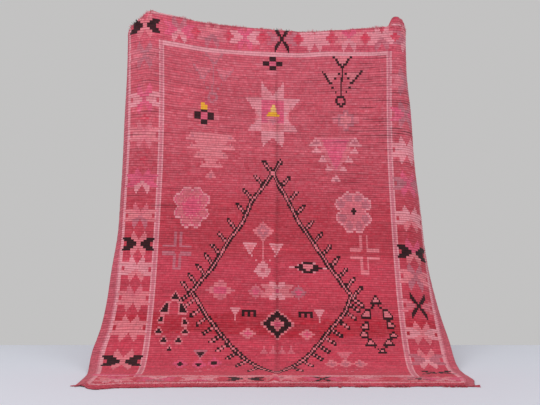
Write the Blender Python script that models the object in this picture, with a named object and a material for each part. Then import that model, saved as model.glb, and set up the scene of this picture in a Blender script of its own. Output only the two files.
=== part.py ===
"""Boujad rug, hung from the two corners of its top edge.

The cloth drops down a wall, sweeps forward and ends flat on the floor. Its top
edge is turned back in a narrow hem, its side edges curl backwards, the upper
left corner folds back aslant and the upper right corner stands up unfolded.

Axes: +X to the right, +Y towards the wall, +Z up. The origin is the middle of
the top edge, where the rug is held. All sizes are in metres.
"""

import math
from collections import namedtuple

import bmesh
import bpy
import numpy as np
from mathutils import Vector

# Cut size of the rug and its make
RUG_WIDTH = 1.76
RUG_LENGTH = 2.40
PILE_THICKNESS = 0.009
WEB_THICKNESS = 0.004
SELVEDGE_WIDTH = 0.030
END_WEB_WIDTH = 0.018
THICKNESS_STEP = 0.010
HALF_WIDTH = RUG_WIDTH / 2

# Hem along the top edge, turned back over a soft roll
HEM_RADIUS = 0.010
HEM_AT_MIDDLE = 0.0606

# Hang of the cloth: distance down from the top edge, lean forward in degrees
Hang = namedtuple("Hang", "distance lean")
HANG = (
    Hang(0.00, 0.0),
    Hang(0.32, 0.0),
    Hang(0.62, 8.0),
    Hang(0.87, 19.0),
    Hang(1.12, 21.5),
    Hang(1.37, 25.0),
    Hang(1.57, 31.0),
    Hang(1.74, 38.0),
    Hang(1.87, 47.0),
    Hang(1.96, 60.0),
    Hang(2.03, 78.0),
    Hang(2.09, 90.0),
    Hang(2.60, 90.0),
)
HANG_STEP = 0.002

# Top edge: place across, depth of the hem, turn of the hem in degrees, slant of
# its fold in degrees, and how far the rows below it are pulled up
TopEdge = namedtuple("TopEdge", "across hem turn slant pull")
TOP_EDGE = (
    TopEdge(-0.880, 0.128, 180.0, 40.0, 0.036),
    TopEdge(-0.810, 0.093, 180.0, 40.0, 0.047),
    TopEdge(-0.764, 0.068, 180.0, 38.0, 0.055),
    TopEdge(-0.735, 0.044, 180.0, 26.0, 0.060),
    TopEdge(-0.713, 0.034, 180.0, 10.0, 0.061),
    TopEdge(-0.680, 0.037, 180.0, 0.0, 0.058),
    TopEdge(-0.565, 0.044, 180.0, 0.0, 0.042),
    TopEdge(-0.428, 0.052, 180.0, 0.0, 0.024),
    TopEdge(-0.222, 0.058, 180.0, 0.0, 0.007),
    TopEdge(-0.020, 0.063, 180.0, 0.0, 0.003),
    TopEdge(0.150, 0.072, 180.0, 0.0, 0.003),
    TopEdge(0.319, 0.071, 180.0, 0.0, 0.014),
    TopEdge(0.456, 0.063, 180.0, 0.0, 0.019),
    TopEdge(0.576, 0.056, 180.0, 0.0, 0.024),
    TopEdge(0.636, 0.054, 180.0, 0.0, 0.031),
    TopEdge(0.672, 0.054, 14.0, 0.0, 0.033),
    TopEdge(0.720, 0.054, 10.0, 0.0, 0.031),
    TopEdge(0.800, 0.054, 8.0, 0.0, 0.022),
    TopEdge(0.880, 0.054, 6.0, 0.0, 0.012),
)
PULL_FULL_TO = 0.25
PULL_GONE_AT = 0.95

# The left nail is higher than the right one, so the rows slope down to the right
ROW_SLOPE = -0.030
SLOPE_FULL_TO = 1.72
SLOPE_GONE_AT = 2.02

# Side edges curl backwards: place down the cloth, width of the curled strip, its turn
# in degrees, and how much wider than the cut width that side lies
Curl = namedtuple("Curl", "down strip turn wider")
LEFT_CURL = (
    Curl(0.00, 0.110, 84.0, 0.000),
    Curl(0.35, 0.100, 78.0, 0.004),
    Curl(0.65, 0.090, 62.0, 0.002),
    Curl(1.00, 0.090, 60.0, 0.005),
    Curl(1.30, 0.090, 56.0, 0.000),
    Curl(1.50, 0.080, 24.0, 0.000),
    Curl(1.65, 0.070, 2.0, 0.000),
    Curl(1.83, 0.060, 0.0, 0.014),
    Curl(1.95, 0.060, 0.0, 0.034),
    Curl(2.05, 0.060, 0.0, 0.028),
    Curl(2.15, 0.060, 0.0, 0.014),
    Curl(2.30, 0.060, 0.0, 0.008),
    Curl(2.60, 0.060, 0.0, 0.012),
)
RIGHT_CURL = (
    Curl(0.00, 0.196, 190.0, 0.000),
    Curl(0.34, 0.188, 175.0, 0.000),
    Curl(0.51, 0.170, 152.0, 0.000),
    Curl(0.62, 0.167, 140.0, 0.000),
    Curl(0.78, 0.169, 124.0, 0.000),
    Curl(1.00, 0.172, 99.0, 0.002),
    Curl(1.29, 0.187, 80.0, 0.004),
    Curl(1.66, 0.187, 44.0, 0.000),
    Curl(1.85, 0.180, 16.0, 0.000),
    Curl(2.05, 0.170, 0.0, 0.000),
    Curl(2.18, 0.170, 0.0, 0.015),
    Curl(2.60, 0.170, 0.0, 0.008),
)

# Soft folds: middle and half width across, start and end down the cloth, fade at
# both ends, and rise towards the pile side
Fold = namedtuple("Fold", "across half start end fade rise")
FOLDS = (
    Fold(-0.715, 0.075, 0.15, 0.75, 0.30, 0.018),
    Fold(-0.570, 0.080, 0.20, 0.85, 0.30, -0.010),
    Fold(0.575, 0.070, 0.15, 0.70, 0.30, 0.012),
    Fold(0.010, 0.030, 0.30, 2.00, 0.30, -0.004),
    Fold(-0.008, 0.026, 2.20, 2.36, 0.045, 0.016),
    Fold(0.045, 0.026, 2.29, 2.36, 0.045, 0.009),
    Fold(-0.846, 0.020, 2.36, 2.50, 0.030, 0.009),
)

# Lower end of the cloth: place across, length added to the cut length
LowerEnd = namedtuple("LowerEnd", "across added")
LOWER_END = (
    LowerEnd(-0.880, 0.004),
    LowerEnd(-0.845, -0.004),
    LowerEnd(-0.822, 0.032),
    LowerEnd(-0.700, 0.024),
    LowerEnd(-0.350, 0.004),
    LowerEnd(0.000, 0.000),
    LowerEnd(0.500, -0.002),
    LowerEnd(0.800, -0.006),
    LowerEnd(0.880, 0.000),
)
CORNER_PULL = 0.026
CORNER_PULL_LENGTH = 0.14

# Loose warp ends beyond the lower end: a narrow strip with tufts of flat tapered
# locks, and one thick tail at its right end. Each step of a lock or of the tail has
# its place along it and its size there
STRIP_START = -0.795
STRIP_END = 0.880
STRIP_GAP = 0.0004
STRIP_DEPTH = 0.007
STRIP_HEIGHT = 0.003
Tuft = namedtuple("Tuft", "start end locks length lean")
TUFTS = (
    Tuft(-0.640, -0.590, 4, 0.007, -0.003),
    Tuft(-0.330, -0.262, 5, 0.008, 0.002),
    Tuft(-0.090, -0.020, 5, 0.007, -0.002),
    Tuft(0.172, 0.236, 6, 0.015, 0.003),
    Tuft(0.282, 0.292, 1, 0.026, -0.008),
    Tuft(0.336, 0.402, 6, 0.014, -0.002),
    Tuft(0.472, 0.580, 10, 0.016, 0.003),
    Tuft(0.634, 0.662, 2, 0.009, 0.004),
    Tuft(0.722, 0.836, 11, 0.018, 0.004),
)
LOCK_GAP = 0.22
LockStep = namedtuple("LockStep", "along width height")
LOCK_STEPS = (
    LockStep(0.45, 0.86, 0.80),
    LockStep(0.80, 0.62, 0.62),
    LockStep(1.00, 0.24, 0.40),
)
TailStep = namedtuple("TailStep", "along half")
TAIL_STEPS = (
    TailStep(0.006, 0.0045),
    TailStep(0.014, 0.0055),
    TailStep(0.022, 0.0030),
)
TAIL_FORWARD = 0.0035

# Mesh lines: runs across the rug, and runs down it below the hem
Run = namedtuple("Run", "start end steps")
ACROSS_RUNS = (
    Run(-0.880, -0.850, 1),
    Run(-0.850, -0.620, 8),
    Run(-0.620, -0.060, 8),
    Run(-0.060, 0.080, 6),
    Run(0.080, 0.560, 7),
    Run(0.560, 0.620, 1),
    Run(0.620, 0.850, 11),
    Run(0.850, 0.880, 1),
)
DOWN_RUNS = (
    Run(0.26, 1.70, 21),
    Run(1.70, 2.16, 13),
    Run(2.16, 2.37, 6),
)
HEM_STEPS = 3
ROLL_STEPS = 6
BELOW_ROLL_STEPS = 3
END_LINES = (0.020, 0.012, 0.000)


def between(table, column, place):
    """Read a column of a table at a place, on a smooth curve through its rows."""
    places = np.array([row[0] for row in table])
    values = np.array([getattr(row, column) for row in table])
    slopes = np.gradient(values, places)
    place = np.clip(place, places[0], places[-1])
    row = np.clip(np.searchsorted(places, place) - 1, 0, len(places) - 2)
    gap = places[row + 1] - places[row]
    part = (place - places[row]) / gap
    start_share = (1 + 2 * part) * (1 - part) ** 2
    end_share = part ** 2 * (3 - 2 * part)
    start_slope = part * (1 - part) ** 2 * gap
    end_slope = part ** 2 * (part - 1) * gap
    return (
        values[row] * start_share
        + values[row + 1] * end_share
        + slopes[row] * start_slope
        + slopes[row + 1] * end_slope
    )


def ease(low, high, place):
    """Go smoothly from 0 at low to 1 at high."""
    part = np.clip((place - low) / (high - low), 0.0, 1.0)
    return part * part * (3 - 2 * part)


def hang_line():
    """Walk down the middle of the cloth: distance, forward, height and lean."""
    distance = np.arange(0.0, HANG[-1].distance, HANG_STEP)
    lean = np.radians(np.interp(distance, [row.distance for row in HANG], [row.lean for row in HANG]))
    forward = np.concatenate(([0.0], np.cumsum(np.sin(lean[:-1]) * HANG_STEP)))
    drop = np.concatenate(([0.0], np.cumsum(np.cos(lean[:-1]) * HANG_STEP)))
    return distance, forward, -drop, lean


HANG_DISTANCE, HANG_FORWARD, HANG_HEIGHT, HANG_LEAN = hang_line()


def row_lift(across, down):
    """How far a row is pulled up, by the nails and by their uneven height."""
    pull = between(TOP_EDGE, "pull", across) * (1 - ease(PULL_FULL_TO, PULL_GONE_AT, down))
    slope = ROW_SLOPE * across * (1 - ease(SLOPE_FULL_TO, SLOPE_GONE_AT, down))
    return pull + slope


def side_curl(table, from_middle, down):
    """Curl one half of the cloth: sideways place, depth backwards and turn."""
    from_middle = from_middle + between(table, "wider", down) * ease(0.66, HALF_WIDTH, from_middle)
    strip = between(table, "strip", down)
    turn = np.radians(np.maximum(between(table, "turn", down), 0.001))
    start = HALF_WIDTH - strip
    radius = strip / turn
    angle = np.maximum(from_middle - start, 0.0) / radius
    sideways = np.minimum(from_middle, start) + radius * np.sin(angle)
    return sideways, radius * (1 - np.cos(angle)), angle


def fold_rise(across, down):
    """Height of the soft folds over the plain hang."""
    rise = np.zeros(np.broadcast(across, down).shape)
    for fold in FOLDS:
        side = np.clip(np.abs(across - fold.across) / fold.half, 0.0, 1.0)
        arch = 0.5 + 0.5 * np.cos(math.pi * side)
        length = ease(fold.start, fold.start + fold.fade, down)
        length = length * (1 - ease(fold.end - fold.fade, fold.end, down))
        rise = rise + fold.rise * arch * length
    return rise


def cloth_back(across, down):
    """Place the back of the cloth: across from its middle, down from its cut top end."""
    across = np.asarray(across, dtype=float)
    down = np.asarray(down, dtype=float)

    # The hem turns back over its roll along a fold that may run aslant
    hem = between(TOP_EDGE, "hem", across)
    turn = np.radians(between(TOP_EDGE, "turn", across))
    slant = np.radians(between(TOP_EDGE, "slant", across))
    quarter = math.pi / 2 * HEM_RADIUS
    beyond = hem - down
    over = np.maximum(beyond * np.cos(slant) + quarter, 0.0)
    angle = np.minimum(over / HEM_RADIUS, turn)
    rest = over - angle * HEM_RADIUS
    climb = HEM_RADIUS * np.sin(angle) + rest * np.cos(turn) - over
    inward = HEM_RADIUS * (1 - np.cos(angle)) + rest * np.sin(turn)
    side_place = across - climb * np.sin(slant)
    height_gain = climb * np.cos(slant)

    # Down the hang, with the rows pulled up
    distance = down - HEM_AT_MIDDLE - row_lift(across, down) - height_gain
    forward = np.interp(distance, HANG_DISTANCE, HANG_FORWARD)
    height = np.interp(distance, HANG_DISTANCE, HANG_HEIGHT)
    height = height - np.minimum(distance, 0.0)
    lean = np.interp(distance, HANG_DISTANCE, HANG_LEAN)

    # Curl of both side edges, and the lower right corner drawn in
    right, right_depth, right_turn = side_curl(RIGHT_CURL, np.maximum(side_place, 0.0), down)
    left, left_depth, left_turn = side_curl(LEFT_CURL, np.maximum(-side_place, 0.0), down)
    corner = ease(RUG_LENGTH - CORNER_PULL_LENGTH, RUG_LENGTH, down) * ease(0.70, HALF_WIDTH, across)
    x = right - left - inward * (np.sin(right_turn) - np.sin(left_turn)) - CORNER_PULL * corner
    depth = right_depth + left_depth + inward * np.cos(right_turn + left_turn)
    depth = depth - fold_rise(across, down)

    y = -forward + depth * np.cos(lean)
    z = height - depth * np.sin(lean)
    return np.stack(np.broadcast_arrays(x, y, z), axis=-1)


def pile_direction(across, down):
    """Unit direction from the back of the cloth to its pile."""
    step = 0.001
    along_row = cloth_back(across + step, down) - cloth_back(across - step, down)
    along_length = cloth_back(across, down + step) - cloth_back(across, down - step)
    direction = np.cross(along_length, along_row)
    return direction / np.linalg.norm(direction, axis=-1, keepdims=True)


def cloth_thickness(across, down, end):
    """Full pile inside, thin web at the selvedges and at both ends."""
    from_side = HALF_WIDTH - np.abs(across)
    from_end = np.minimum(down, end - down)
    inside = ease(SELVEDGE_WIDTH - THICKNESS_STEP, SELVEDGE_WIDTH, from_side)
    inside = inside * ease(END_WEB_WIDTH - THICKNESS_STEP, END_WEB_WIDTH, from_end)
    return WEB_THICKNESS + (PILE_THICKNESS - WEB_THICKNESS) * inside


def line_places(runs):
    """Places of the mesh lines that a table of runs asks for."""
    places = [runs[0].start]
    for run in runs:
        places.extend(np.linspace(run.start, run.end, run.steps + 1)[1:])
    return np.array(places)


def cloth_grid():
    """Mesh lines of the rug: place across and place down for each crossing."""
    across = line_places(ACROSS_RUNS)
    hem = between(TOP_EDGE, "hem", across)
    end = RUG_LENGTH + between(LOWER_END, "added", across)
    quarter = math.pi / 2 * HEM_RADIUS
    lines = []
    for step in range(HEM_STEPS):
        lines.append((hem - quarter) * step / HEM_STEPS)
    for step in range(ROLL_STEPS + 1):
        lines.append(hem - quarter + 2 * quarter * step / ROLL_STEPS)
    first_down = DOWN_RUNS[0].start
    for step in range(1, BELOW_ROLL_STEPS):
        share = step / BELOW_ROLL_STEPS
        lines.append((hem + quarter) * (1 - share) + first_down * share)
    for place in line_places(DOWN_RUNS):
        lines.append(np.full_like(across, place))
    for inset in END_LINES:
        lines.append(end - inset)
    down = np.array(lines)
    return np.broadcast_to(across, down.shape), down, np.broadcast_to(end, down.shape)


def principled(name, colour, roughness):
    """Make a plain material for one piece."""
    material = bpy.data.materials.new(name)
    material.use_nodes = True
    shader = material.node_tree.nodes["Principled BSDF"]
    shader.inputs["Base Color"].default_value = (*colour, 1.0)
    shader.inputs["Roughness"].default_value = roughness
    shader.inputs["Metallic"].default_value = 0.0
    return material


def add_piece(name, shape, material):
    """Turn a bmesh into a smooth shaded object in the scene."""
    bmesh.ops.recalc_face_normals(shape, faces=shape.faces[:])
    mesh = bpy.data.meshes.new(name)
    shape.to_mesh(mesh)
    shape.free()
    mesh.materials.append(material)
    mesh.shade_smooth()
    mesh.set_sharp_from_angle(angle=math.radians(50))
    piece = bpy.data.objects.new(name, mesh)
    bpy.context.scene.collection.objects.link(piece)
    return piece


def build_rug():
    """One solid: back and pile side of the cloth, joined by a rim."""
    across, down, end = cloth_grid()
    back = cloth_back(across, down)
    thickness = cloth_thickness(across, down, end)
    pile = back + pile_direction(across, down) * thickness[..., None]
    rows, columns = across.shape

    shape = bmesh.new()
    back_points = [[shape.verts.new(back[r, c]) for c in range(columns)] for r in range(rows)]
    pile_points = [[shape.verts.new(pile[r, c]) for c in range(columns)] for r in range(rows)]
    for r in range(rows - 1):
        for c in range(columns - 1):
            for side in (back_points, pile_points):
                shape.faces.new((side[r][c], side[r][c + 1], side[r + 1][c + 1], side[r + 1][c]))
    rim = [(0, c) for c in range(columns)]
    rim += [(r, columns - 1) for r in range(1, rows)]
    rim += [(rows - 1, c) for c in range(columns - 2, -1, -1)]
    rim += [(r, 0) for r in range(rows - 2, 0, -1)]
    for (r, c), (next_r, next_c) in zip(rim, rim[1:] + rim[:1]):
        shape.faces.new((
            back_points[r][c],
            back_points[next_r][next_c],
            pile_points[next_r][next_c],
            pile_points[r][c],
        ))
    bmesh.ops.triangulate(shape, faces=shape.faces[:])
    return add_piece("rug", shape, principled("rug_pile", (0.55, 0.07, 0.12), 0.95))


def strip_places():
    """Places across where the strip has a mesh line, and the tuft and share of each lock."""
    places = [place for place in line_places(ACROSS_RUNS) if STRIP_START < place < STRIP_END]
    places.extend((STRIP_START, STRIP_END))
    locks = {}
    for tuft in TUFTS:
        places = [place for place in places if not tuft.start - 0.008 < place < tuft.end + 0.008]
        pitch = (tuft.end - tuft.start) / tuft.locks
        for number in range(tuft.locks):
            start = tuft.start + (number + LOCK_GAP / 2) * pitch
            places.extend((start, start + (1 - LOCK_GAP) * pitch))
            locks[start] = (tuft, number)
    return sorted(places), locks


def beyond_end(across, distance):
    """Place beyond the straight-sided lower end of the meshed rug."""
    columns = line_places(ACROSS_RUNS)
    end = RUG_LENGTH + between(LOWER_END, "added", columns)
    line = cloth_back(columns, end + distance)
    return Vector([np.interp(across, columns, line[:, axis]) for axis in range(3)])


def strip_section(across):
    """Four corners of the strip at a place: back low, back high, front high, front low."""
    back = beyond_end(across, STRIP_GAP)
    front = beyond_end(across, STRIP_GAP + STRIP_DEPTH)
    up = Vector((0.0, 0.0, STRIP_HEIGHT))
    return back, back + up, front + up, front


def join_rings(shape, near, far):
    """Close the sides between two rings of four corners."""
    for corner in range(4):
        following = (corner + 1) % 4
        shape.faces.new((near[corner], near[following], far[following], far[corner]))


def grow_lock(shape, root, tuft, number):
    """Draw one flat tapered lock out of the front of the strip, along the floor."""
    length = tuft.length * (0.80 + 0.20 * math.cos(2.4 * number))
    lean = tuft.lean * (1.0 + 0.5 * math.sin(1.7 * number))
    middle = (root[0].co + root[1].co) / 2
    half = (root[1].co - root[0].co) / 2
    ring = root
    for step in LOCK_STEPS:
        place = middle + Vector((lean * step.along ** 1.5, -length * step.along, 0.0))
        up = Vector((0.0, 0.0, STRIP_HEIGHT * step.height))
        corners = (place - half * step.width, place + half * step.width)
        corners = (*corners, corners[1] + up, corners[0] + up)
        following = [shape.verts.new(corner) for corner in corners]
        join_rings(shape, ring, following)
        ring = following
    shape.faces.new(ring)


def grow_tail(shape, root):
    """Draw the thick twisted tail out of the right end of the strip."""
    middle = (root[0].co + root[3].co) / 2
    ring = root
    for step in TAIL_STEPS:
        place = middle + Vector((step.along, -TAIL_FORWARD, 0.0))
        side = Vector((0.0, 1.2 * step.half, 0.0))
        up = Vector((0.0, 0.0, 2 * step.half))
        corners = (place + side, place + side + up, place - side + up, place - side)
        following = [shape.verts.new(corner) for corner in corners]
        join_rings(shape, ring, following)
        ring = following
    shape.faces.new(ring)


def build_end_fringe():
    """One solid: the strip beyond the lower end with its locks and tail."""
    places, locks = strip_places()
    shape = bmesh.new()
    sections = []
    for place in places:
        sections.append([shape.verts.new(corner) for corner in strip_section(place)])
    for place, near, far in zip(places, sections, sections[1:]):
        shape.faces.new((near[0], near[1], far[1], far[0]))
        shape.faces.new((near[1], near[2], far[2], far[1]))
        shape.faces.new((near[3], near[0], far[0], far[3]))
        if place in locks:
            grow_lock(shape, [near[3], far[3], far[2], near[2]], *locks[place])
        else:
            shape.faces.new((near[2], near[3], far[3], far[2]))
    shape.faces.new(sections[0])
    grow_tail(shape, sections[-1])
    bmesh.ops.triangulate(shape, faces=shape.faces[:])
    return add_piece("end_fringe", shape, principled("end_yarn", (0.40, 0.04, 0.08), 0.95))


def main():
    """Clear the scene and build every piece."""
    for old in list(bpy.data.objects):
        bpy.data.objects.remove(old, do_unlink=True)
    build_rug()
    build_end_fringe()


main()
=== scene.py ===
import math
import bpy
import numpy as np
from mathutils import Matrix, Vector


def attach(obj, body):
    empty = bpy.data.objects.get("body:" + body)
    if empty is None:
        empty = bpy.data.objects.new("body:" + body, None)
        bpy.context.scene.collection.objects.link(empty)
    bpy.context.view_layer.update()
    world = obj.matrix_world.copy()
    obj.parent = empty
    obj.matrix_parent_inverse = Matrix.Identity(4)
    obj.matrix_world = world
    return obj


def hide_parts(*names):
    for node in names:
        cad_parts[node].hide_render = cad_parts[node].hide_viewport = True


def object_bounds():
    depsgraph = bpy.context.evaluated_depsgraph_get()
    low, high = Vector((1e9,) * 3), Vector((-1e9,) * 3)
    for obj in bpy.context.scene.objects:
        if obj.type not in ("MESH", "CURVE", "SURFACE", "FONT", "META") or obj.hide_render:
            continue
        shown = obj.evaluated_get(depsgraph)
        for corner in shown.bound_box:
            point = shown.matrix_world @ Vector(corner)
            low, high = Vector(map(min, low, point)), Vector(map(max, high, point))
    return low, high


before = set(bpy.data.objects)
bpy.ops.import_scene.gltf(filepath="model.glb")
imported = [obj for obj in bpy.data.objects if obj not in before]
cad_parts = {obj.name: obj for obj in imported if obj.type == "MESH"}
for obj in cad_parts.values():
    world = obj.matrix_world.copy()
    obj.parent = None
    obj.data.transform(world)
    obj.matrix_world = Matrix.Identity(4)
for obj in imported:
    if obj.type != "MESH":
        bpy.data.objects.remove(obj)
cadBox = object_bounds()
floorLevel = cadBox[0][2]
print("frame loaded, floor at", round(floorLevel, 4))


# shader sums written as Python sums: each operator adds one Math node
class Wire:
    def __init__(self, tree, socket):
        self.tree = tree
        self.socket = socket

    def join(self, operation, first, second):
        mathNode = self.tree.nodes.new("ShaderNodeMath")
        mathNode.operation = operation
        for slot, value in zip(mathNode.inputs, (first, second)):
            if isinstance(value, Wire):
                self.tree.links.new(value.socket, slot)
            else:
                slot.default_value = value
        return Wire(self.tree, mathNode.outputs[0])

    def __add__(self, other):
        return self.join("ADD", self, other)

    def __radd__(self, other):
        return self.join("ADD", other, self)

    def __sub__(self, other):
        return self.join("SUBTRACT", self, other)

    def __rsub__(self, other):
        return self.join("SUBTRACT", other, self)

    def __mul__(self, other):
        return self.join("MULTIPLY", self, other)

    def __rmul__(self, other):
        return self.join("MULTIPLY", other, self)


# one wool or cotton finish; add() takes a node's type, its settings and its inputs
class Finish:
    def __init__(self, name, roughness, sheen):
        self.material = bpy.data.materials.new(name)
        self.material.use_nodes = True
        self.tree = self.material.node_tree
        self.shader = self.tree.nodes["Principled BSDF"]
        self.shader.inputs["Roughness"].default_value = roughness
        self.shader.inputs["Specular IOR Level"].default_value = 0.25
        self.shader.inputs["Sheen Weight"].default_value = sheen
        self.shader.inputs["Sheen Roughness"].default_value = 0.6

    def feed(self, slot, value):
        if isinstance(value, Wire):
            self.tree.links.new(value.socket, slot)
        else:
            slot.default_value = value

    def add(self, kind, settings=None, inputs=None, output=0):
        node = self.tree.nodes.new(kind)
        for name, value in (settings or {}).items():
            setattr(node, name, value)
        for name, value in (inputs or {}).items():
            self.feed(node.inputs[name], value)
        return Wire(self.tree, node.outputs[output])

    def drive(self, name, value):
        self.feed(self.shader.inputs[name], value)


# the cloth's own shape, in metres: the same sizes and tables as the solid
cloth = {
    "width": 1.76,
    "length": 2.40,
    "pile": 0.009,
    "web": 0.004,
    "selvedge": 0.030,
    "endWeb": 0.018,
    "thicknessStep": 0.010,
    "hemRadius": 0.010,
    "hemAtMiddle": 0.0606,
    "rowSlope": -0.030,
    "slopeFullTo": 1.72,
    "slopeGoneAt": 2.02,
    "pullFullTo": 0.25,
    "pullGoneAt": 0.95,
    "cornerPull": 0.026,
    "cornerPullLength": 0.14,
}
halfWidth = cloth["width"] / 2

# distance down from the top edge, lean forward in degrees
hangTable = [
    (0.00, 0.0), (0.32, 0.0), (0.62, 8.0), (0.87, 19.0), (1.12, 21.5), (1.37, 25.0), (1.57, 31.0),
    (1.74, 38.0), (1.87, 47.0), (1.96, 60.0), (2.03, 78.0), (2.09, 90.0), (2.60, 90.0),
]
# place across, depth of the hem, its turn, slant of its fold, pull of the rows below
topTable = [
    (-0.880, 0.128, 180.0, 40.0, 0.036), (-0.810, 0.093, 180.0, 40.0, 0.047),
    (-0.764, 0.068, 180.0, 38.0, 0.055), (-0.735, 0.044, 180.0, 26.0, 0.060),
    (-0.713, 0.034, 180.0, 10.0, 0.061), (-0.680, 0.037, 180.0, 0.0, 0.058),
    (-0.565, 0.044, 180.0, 0.0, 0.042), (-0.428, 0.052, 180.0, 0.0, 0.024),
    (-0.222, 0.058, 180.0, 0.0, 0.007), (-0.020, 0.063, 180.0, 0.0, 0.003),
    (0.150, 0.072, 180.0, 0.0, 0.003), (0.319, 0.071, 180.0, 0.0, 0.014),
    (0.456, 0.063, 180.0, 0.0, 0.019), (0.576, 0.056, 180.0, 0.0, 0.024),
    (0.636, 0.054, 180.0, 0.0, 0.031), (0.672, 0.054, 14.0, 0.0, 0.033),
    (0.720, 0.054, 10.0, 0.0, 0.031), (0.800, 0.054, 8.0, 0.0, 0.022),
    (0.880, 0.054, 6.0, 0.0, 0.012),
]
# place down, width of the curled strip, its turn, how much wider that side lies
leftTable = [
    (0.00, 0.110, 84.0, 0.000), (0.35, 0.100, 78.0, 0.004), (0.65, 0.090, 62.0, 0.002),
    (1.00, 0.090, 60.0, 0.005), (1.30, 0.090, 56.0, 0.000), (1.50, 0.080, 24.0, 0.000),
    (1.65, 0.070, 2.0, 0.000), (1.83, 0.060, 0.0, 0.014), (1.95, 0.060, 0.0, 0.034),
    (2.05, 0.060, 0.0, 0.028), (2.15, 0.060, 0.0, 0.014), (2.30, 0.060, 0.0, 0.008),
    (2.60, 0.060, 0.0, 0.012),
]
rightTable = [
    (0.00, 0.196, 190.0, 0.000), (0.34, 0.188, 175.0, 0.000), (0.51, 0.170, 152.0, 0.000),
    (0.62, 0.167, 140.0, 0.000), (0.78, 0.169, 124.0, 0.000), (1.00, 0.172, 99.0, 0.002),
    (1.29, 0.187, 80.0, 0.004), (1.66, 0.187, 44.0, 0.000), (1.85, 0.180, 16.0, 0.000),
    (2.05, 0.170, 0.0, 0.000), (2.18, 0.170, 0.0, 0.015), (2.60, 0.170, 0.0, 0.008),
]
# middle, half width, start, end, fade, rise
foldTable = [
    (-0.715, 0.075, 0.15, 0.75, 0.30, 0.018), (-0.570, 0.080, 0.20, 0.85, 0.30, -0.010),
    (0.575, 0.070, 0.15, 0.70, 0.30, 0.012), (0.010, 0.030, 0.30, 2.00, 0.30, -0.004),
    (-0.008, 0.026, 2.20, 2.36, 0.045, 0.016), (0.045, 0.026, 2.29, 2.36, 0.045, 0.009),
    (-0.846, 0.020, 2.36, 2.50, 0.030, 0.009),
]
# place across, length added at the lower end
endTable = [
    (-0.880, 0.004), (-0.845, -0.004), (-0.822, 0.032), (-0.700, 0.024), (-0.350, 0.004),
    (0.000, 0.000), (0.500, -0.002), (0.800, -0.006), (0.880, 0.000),
]


def readTable(table, column, place):
    places = np.array([row[0] for row in table])
    values = np.array([row[column] for row in table])
    slopes = np.gradient(values, places)
    place = np.clip(place, places[0], places[-1])
    row = np.clip(np.searchsorted(places, place) - 1, 0, len(places) - 2)
    gap = places[row + 1] - places[row]
    part = (place - places[row]) / gap
    risen = part ** 2 * (3 - 2 * part)
    smooth = values[row] * (1 - risen) + values[row + 1] * risen
    smooth = smooth + slopes[row] * part * (1 - part) ** 2 * gap
    return smooth + slopes[row + 1] * part ** 2 * (part - 1) * gap


def ease(low, high, place):
    part = np.clip((place - low) / (high - low), 0.0, 1.0)
    return part * part * (3 - 2 * part)


hangStep = 0.002
hangDistance = np.arange(0.0, hangTable[-1][0], hangStep)
hangLean = np.radians(np.interp(hangDistance, [row[0] for row in hangTable], [row[1] for row in hangTable]))
hangForward = np.concatenate(([0.0], np.cumsum(np.sin(hangLean[:-1]) * hangStep)))
hangHeight = -np.concatenate(([0.0], np.cumsum(np.cos(hangLean[:-1]) * hangStep)))


def sideCurl(table, fromMiddle, down):
    fromMiddle = fromMiddle + readTable(table, 3, down) * ease(0.66, halfWidth, fromMiddle)
    strip = readTable(table, 1, down)
    turn = np.radians(np.maximum(readTable(table, 2, down), 0.001))
    start = halfWidth - strip
    radius = strip / turn
    angle = np.maximum(fromMiddle - start, 0.0) / radius
    sideways = np.minimum(fromMiddle, start) + radius * np.sin(angle)
    return sideways, radius * (1 - np.cos(angle)), angle


# fine creases on top of the folds: middle, wander, half width, start, end, rise
creaseTable = [
    (0.006, 0.010, 0.0150, 0.16, 2.06, -0.0048), (-0.016, 0.006, 0.0120, 0.40, 1.90, 0.0016),
    (0.030, 0.006, 0.0120, 0.55, 1.60, 0.0014),
]


def creaseRise(across, down):
    rise = 0.0
    for middle, wander, half, start, end, height in creaseTable:
        line = middle + wander * np.sin(down * 5.3 + middle * 90) * (0.5 + 0.5 * np.sin(down * 2.1 + 1.0))
        arch = np.exp(-((across - line) / half) ** 2)
        uneven = 0.72 + 0.28 * np.sin(down * 17.0 + middle * 300)
        rise = rise + height * uneven * arch * ease(start, start + 0.2, down) * (1 - ease(end - 0.2, end, down))
    return rise


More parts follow.
